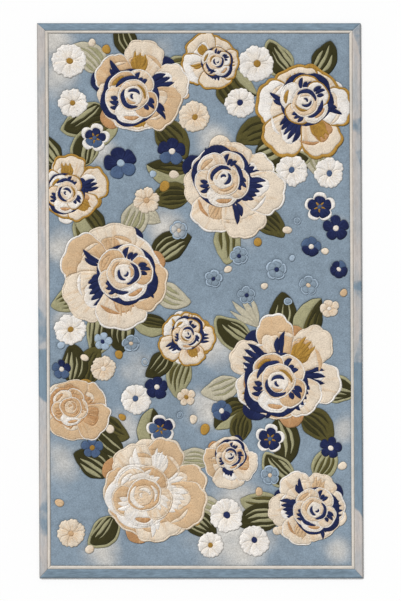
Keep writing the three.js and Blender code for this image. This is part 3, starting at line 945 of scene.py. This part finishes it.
# %% [markdown]
# ## Colours and the node helper
# The yarns' colours are named by their sRGB hex values, as a dyer's card is, and one function
# turns them to the linear values that Blender reckons with. One helper adds a node with its
# settings and its links. Where it numbers the inputs of a map range node, 1 and 2 are the range that
# goes in and 3 and 4 the one that comes out. A mix node's are 0 for the share and 6 and 7 for the
# two colours.

# %% Colours and the node helper
YARN_COLOURS = {
    "sky": "8494A2", "white": "E6E1DB", "cream": "DFD0BC", "peach": "CDAF8B", "sand": "B5895E",
    "gold": "AD853C", "navy": "192146", "slate": "4D617F", "olive": "554F29", "moss": "363318",
    "sage": "9F9B78", "mist": "A6B7C7", "fern": "BBB49E",
}


def linear(colour):
    """An sRGB hex value as linear red, green and blue with full cover."""
    parts = np.array([int(colour[i:i + 2], 16) for i in (0, 2, 4)]) / 255
    parts = np.where(parts <= 0.04045, parts / 12.92, ((parts + 0.055) / 1.055) ** 2.4)
    return (*parts.tolist(), 1.0)


def add_node(tree, kind, links=None, out=0, **settings):
    """Adds a node and returns one of its outputs. links gives an input a value or another node's
    output. Inputs and outputs go by name or number."""
    node = tree.nodes.new("ShaderNode" + kind)
    for key, value in settings.items():
        setattr(node, key, value)
    for key, value in (links or {}).items():
        if isinstance(value, bpy.types.NodeSocket):
            tree.links.new(value, node.inputs[key])
        else:
            node.inputs[key].default_value = value
    return node.outputs[out] if node.outputs else None


def new_material(name):
    """A material, the helper for its own nodes, and the place on the piece that patterns follow."""
    material = bpy.data.materials.new(name)
    material.use_nodes = True
    material.node_tree.nodes.clear()
    add = partial(add_node, material.node_tree)
    return material, add, add("TexCoord", out="Object")


print("sky in linear light", [round(v, 3) for v in linear(YARN_COLOURS["sky"])])

# %% [markdown]
# ## Dyed wool, cut pile
# Wool that is tufted and sheared shows the cut ends of its yarn: quite matt, with a faint sheen at
# low angles. The dye takes a little unevenly, the pile leans this way and that, and each tuft of
# 3 mm has a light top and a dark gap beside it. So the colour has a fine, a middle and a broad
# unevenness, partly the dye's and partly painted light and shade of the leaning pile and the tufts,
# and the bump has tufts. Three-millimetre tufts are just too fine for a picture of the whole rug, so
# their painted light and shade is also drawn at 5 mm. A painted shade darkens every yarn in its
# grooves.

# %% The wool's surface
TUFT = 3 * MM
SHOWN_TUFT = 5 * MM
DRIFT = (260 * MM, 0.06)  # size and strength of the broad unevenness


def kept(add, name, out="Fac"):
    """The number, or with out="Vector" the three numbers, kept at a piece's points by this name."""
    return add("Attribute", out=out, attribute_name=name)


def cut_pile(add, place, drawn, colour, mottle, wisp, groove=1.0):
    """The wool's surface: its colour times a painted shade in the grooves and three noises, with tufts
    as bump. The noises follow drawn, a place that can be squeezed along a side, which makes them long."""
    # painted shade: the yarn darkens in its grooves
    shade = add("MapRange", {0: kept(add, "deep"), 3: 1.0, 4: groove})
    for size, strength in ((SHOWN_TUFT, mottle), wisp, DRIFT):
        noise = add("TexNoise", {"Vector": drawn, "Scale": 1 / size, "Detail": 2.0})
        ends = {0: noise, 1: 0.3, 2: 0.7, 3: 1 - strength, 4: 1 + strength}
        gain = add("MapRange", ends, clamp=False)
        shade = add("Math", {0: shade, 1: gain}, operation="MULTIPLY")
    lit = add("VectorMath", {0: colour, "Scale": shade}, operation="SCALE")
    tufts = add("TexVoronoi", {"Vector": place, "Scale": 1 / TUFT, "Randomness": 0.9})
    nap = add("TexNoise", {"Vector": place, "Scale": 1 / (2.5 * TUFT), "Detail": 3.0})
    tall = add("Math", {0: tufts, 1: -0.6, 2: nap}, operation="MULTIPLY_ADD")
    bump = add("Bump", {"Height": tall, "Strength": 0.55, "Distance": 1.6 * MM})
    surface = add("BsdfPrincipled", {
        "Base Color": lit, "Roughness": 0.95, "Specular IOR Level": 0.06, "Sheen Weight": 0.10,
        "Sheen Roughness": 0.6, "Normal": bump})
    add("OutputMaterial", {"Surface": surface}, is_active_output=True)


print("tufts every", round(TUFT / MM), "mm")

# %% [markdown]
# ## The yarns' second tones
# Dyed yarn isn't one flat colour. A second tone runs in streaks through every yarn of the flowers,
# along the grain, and the ground pales in the washes. Both blend two colours by a share that
# follows a noise, which needs no painted picture and can't show a seam.

# %% Wool materials
WISP = (38 * MM, 0.07)  # size and strength of the middle unevenness
MOTTLE = 0.17  # how strong the fine unevenness is
WASH_COLOUR = "CCC8C1"
STREAKS = {  # the second tone that runs through a yarn, and how much of it
    "white": ("DACBB6", 0.5), "cream": ("CFAF89", 0.6), "peach": ("BF9568", 0.5), "sand": ("D6B48C", 0.5),
    "gold": ("7F5E26", 0.5), "navy": ("333E6C", 0.3), "olive": ("3A371C", 0.6), "moss": ("4C4728", 0.4),
    "sage": ("7C7A52", 0.6), "fern": ("9FA391", 0.5), "mist": ("8FA3B5", 0.4), "slate": ("39476B", 0.4),
}
GROOVE_SHADE = 0.96  # how dark the painted shade makes a yarn in its grooves, but for those in the table
GROOVE_SHADES = {"sky": 0.72, "olive": 0.85, "moss": 0.85, "sage": 0.85, "fern": 0.85, "mist": 0.8}
SMOOTH = {"interpolation_type": "SMOOTHSTEP"}


def blended(add, share, one, other):
    """The share of the other colour in the one."""
    return add("Mix", {0: share, 6: one, 7: other}, 2, data_type="RGBA")


def streaked(add, base, tone, amount):
    """A second tone in streaks along the grain, and more of it near a flower's middle."""
    noise = {"Vector": kept(add, "grain", "Vector"), "Scale": 1.7, "Detail": 3.0, "Roughness": 0.6}
    inner = add("MapRange", {0: kept(add, "middle"), 1: 0.2, 2: 1.0, 3: 0.16, 4: -0.10})
    lines = add("Math", {0: add("TexNoise", noise), 1: inner}, operation="ADD")
    share = add("MapRange", {0: lines, 1: 0.46, 2: 0.66, 3: 0.0, 4: amount}, **SMOOTH)
    return blended(add, share, base, linear(tone))


def stained(add, base, tone, stain, ragged, low, high, most, noise):
    """Another tone where the stain is strong. A noise, times ragged, is added to the stain, and the
    tone comes in, at most by the share most, as the sum goes from low to high. noise has the inputs
    of the noise node."""
    uneven = add("Math", {0: add("TexNoise", noise), 1: 0.5}, operation="SUBTRACT")
    wide = add("Math", {0: uneven, 1: ragged, 2: stain}, operation="MULTIPLY_ADD")
    share = add("MapRange", {0: wide, 1: low, 2: high, 3: 0.0, 4: most}, **SMOOTH)
    return blended(add, share, base, linear(tone))


for yarn, piece in pile.items():
    material, add, place = new_material("wool cut pile, " + yarn)
    colour = linear(YARN_COLOURS[yarn])
    if yarn == "sky":
        cloud = {"Vector": place, "Scale": 8.0, "Detail": 4.0, "Roughness": 0.5}
        colour = stained(add, colour, WASH_COLOUR, kept(add, "wash"), ragged=0.7, low=0.2, high=0.95,
                         most=0.95, noise=cloud)
    else:
        colour = streaked(add, colour, *STREAKS[yarn])
    cut_pile(add, place, place, colour, MOTTLE, WISP, GROOVE_SHADES.get(yarn, GROOVE_SHADE))
    piece.data.materials.append(material)
print(len(pile), "yarns dressed")

# %% [markdown]
# ## The border's wool
# The band is the same wool pile, sheared on a slope. Its colour goes from grey cream to blue with
# the stain, broken up by a noise so that the stain's edge is ragged. Its unevenness is drawn out
# along each side. Its outermost 7 mm carry a painted shade of the rounded edge, and from there it
# darkens a little inwards.
# The line is the same wool in pale tones.

# %% Border materials
BAND_TINT = 45 * MM  # size of the patches of the warmer tone
BAND_WISP = 13 * MM
DRAWN_OUT = 0.2  # the place is squeezed to this, so a noise is five times as long
ALONG_X = (DRAWN_OUT, 1.0, 1.0)
ALONG_Y = (1.0, DRAWN_OUT, 1.0)


def border_wool(name, pale, warmer, blue, mottle, stretch):
    """Cut wool pile whose colour follows the blotch and the edge kept at its points."""
    material, add, place = new_material(name)
    drawn = add("VectorMath", {0: place, 1: stretch}, operation="MULTIPLY")
    tint = add("TexNoise", {"Vector": drawn, "Scale": 1 / BAND_TINT, "Detail": 3.0, "Roughness": 0.6})
    warm = add("MapRange", {0: tint, 1: 0.38, 2: 0.62}, **SMOOTH)
    ground = blended(add, warm, linear(pale), linear(warmer))
    cloud = {"Vector": place, "Scale": 18.0, "Detail": 5.0, "Roughness": 0.6}
    tone = stained(add, ground, blue, kept(add, "blotch"), ragged=1.1, low=0.12, high=0.78, most=1.0,
                   noise=cloud)
    rim = kept(add, "edge")
    # painted shade on the rounded edge: the outermost 7 mm darker
    painted_edge_shade = add("MapRange", {0: rim, 1: 2.5, 2: 7.5, 3: 0.64, 4: 1.0})
    # a little lighter towards the rug's edge and darker towards the line
    lighter_outwards = add("MapRange", {0: rim, 1: 6.0, 2: 36.0, 3: 1.04, 4: 0.97})
    both = add("Math", {0: painted_edge_shade, 1: lighter_outwards}, operation="MULTIPLY")
    edged = add("VectorMath", {0: tone, "Scale": both}, operation="SCALE")
    cut_pile(add, place, drawn, edged, mottle, (BAND_WISP, 0.8 * mottle))
    return material


side_wool = border_wool("wool cut pile, grey cream stained blue", "B0B1B2", "C0B9B4", "7A8D9C", 0.08, ALONG_Y)
band_wool = border_wool("wool cut pile, blue", "798C9B", "798C9B", "798C9B", 0.16, ALONG_X)
line_x, line_y = (
    border_wool("wool cut pile, pale line " + way, "D0CAC1", "D8CFC4", "D3CCC2", 0.07, stretch)
    for way, stretch in (("across", ALONG_X), ("along", ALONG_Y)))
for name, piece in border.items():
    side, part = name.split("_")
    wools = (line_x, line_y) if part == "line" else (band_wool, side_wool)
    piece.data.materials.append(wools[0 if side in ("head", "foot") else 1])
print(len(border), "border pieces dressed")

# %% [markdown]
# ## Cotton backing cloth
# Unbleached cotton in plain weave: about 6 threads to the centimetre, matt, with slubs. Two waves at
# right angles give the threads, and noise thickens some of them.

# %% Backing material
THREAD = 1.7 * MM
cloth, add, place = new_material("cotton plain weave, unbleached")
wave = {"Vector": place, "Scale": 1 / THREAD / TURN * np.pi, "Distortion": 0.6, "Detail": 1.0}
warp, weft = (add("TexWave", wave, "Fac", bands_direction=way) for way in ("X", "Y"))
woven = add("Math", {0: warp, 1: weft}, operation="MULTIPLY")
slubs = add("TexNoise", {"Vector": place, "Scale": 120.0, "Detail": 3.0})
tint = add("Math", {0: woven, 1: 0.35, 2: slubs}, operation="MULTIPLY_ADD")
share = add("MapRange", {0: tint, 1: 0.3, 2: 0.9})
bump = add("Bump", {"Height": woven, "Strength": 0.6, "Distance": 0.4 * MM})
surface = add("BsdfPrincipled", {
    "Base Color": blended(add, share, linear("B3A78F"), linear("D3CAB6")), "Roughness": 0.9,
    "Specular IOR Level": 0.2, "Normal": bump})
add("OutputMaterial", {"Surface": surface}, is_active_output=True)
backing.data.materials.append(cloth)
print("threads every", round(THREAD / MM, 2), "mm")

# %% [markdown]
# ## Floor, light and camera
# The rug lies on a plain pale floor. The picture is taken from straight above, as a catalogue does, so
# the camera hangs over the rug's middle with a long lens. One soft sun shines from the upper left,
# which gives each groove a light and a dark side, and a pale sky fills the shadows.

# %% Floor, light and camera
FLOOR_REACH = 60.0  # m from the middle, so that its edge stays out of sight
FLOOR_GAP = 0.4 * MM
SUN_STRENGTH = 2.65
SUN_ANGLE = 14  # degrees, much wider than the real sun, so its shadows are soft
SUN_WAY = (0.85, -1.2, -1.3)
SKY_STRENGTH = 0.46

floor_mesh = bpy.data.meshes.new("floor")
corners = [(x * FLOOR_REACH, y * FLOOR_REACH, 0) for x, y in ((-1, -1), (1, -1), (1, 1), (-1, 1))]
floor_mesh.from_pydata(corners, [], [(0, 1, 2, 3)])
floor = bpy.data.objects.new("floor", floor_mesh)
floor.location.z = -FLOOR_GAP
bpy.context.collection.objects.link(floor)
paint = bpy.data.materials.new("white matt floor paint")
paint.use_nodes = True
surface = paint.node_tree.nodes["Principled BSDF"]
for key, value in {"Base Color": linear("FCFCFC"), "Roughness": 1.0, "Specular IOR Level": 0.0}.items():
    surface.inputs[key].default_value = value
floor_mesh.materials.append(paint)

sun = bpy.data.objects.new("key", bpy.data.lights.new("key", "SUN"))
sun.data.energy = SUN_STRENGTH
sun.data.angle = np.radians(SUN_ANGLE)
sun.rotation_euler = Vector(SUN_WAY).to_track_quat("-Z", "Y").to_euler()
bpy.context.collection.objects.link(sun)

world = bpy.data.worlds.new("studio")
world.use_nodes = True
sky = world.node_tree.nodes["Background"]
sky.inputs["Color"].default_value = (1.0, 1.0, 1.0, 1.0)
sky.inputs["Strength"].default_value = SKY_STRENGTH
bpy.context.scene.world = world

PIXEL = 4.319 * MM  # the floor seen by one of the picture's 601 rows
PICTURE_ROWS = 601
AIM = (0.45, 0.15)  # pixels from the rug's middle to the picture's
camera = bpy.data.objects.new("camera", bpy.data.cameras.new("camera"))
camera.data.lens = 85.0
camera.data.sensor_width = 36.0
distance = PICTURE_ROWS * PIXEL * camera.data.lens / camera.data.sensor_width
camera.location = (AIM[0] * PIXEL, AIM[1] * PIXEL, distance + GROUND_TOP * MM)
bpy.context.collection.objects.link(camera)
bpy.context.scene.camera = camera
bpy.context.scene.view_settings.view_transform = "Standard"
print("camera", round(distance, 3), "m above the pile")
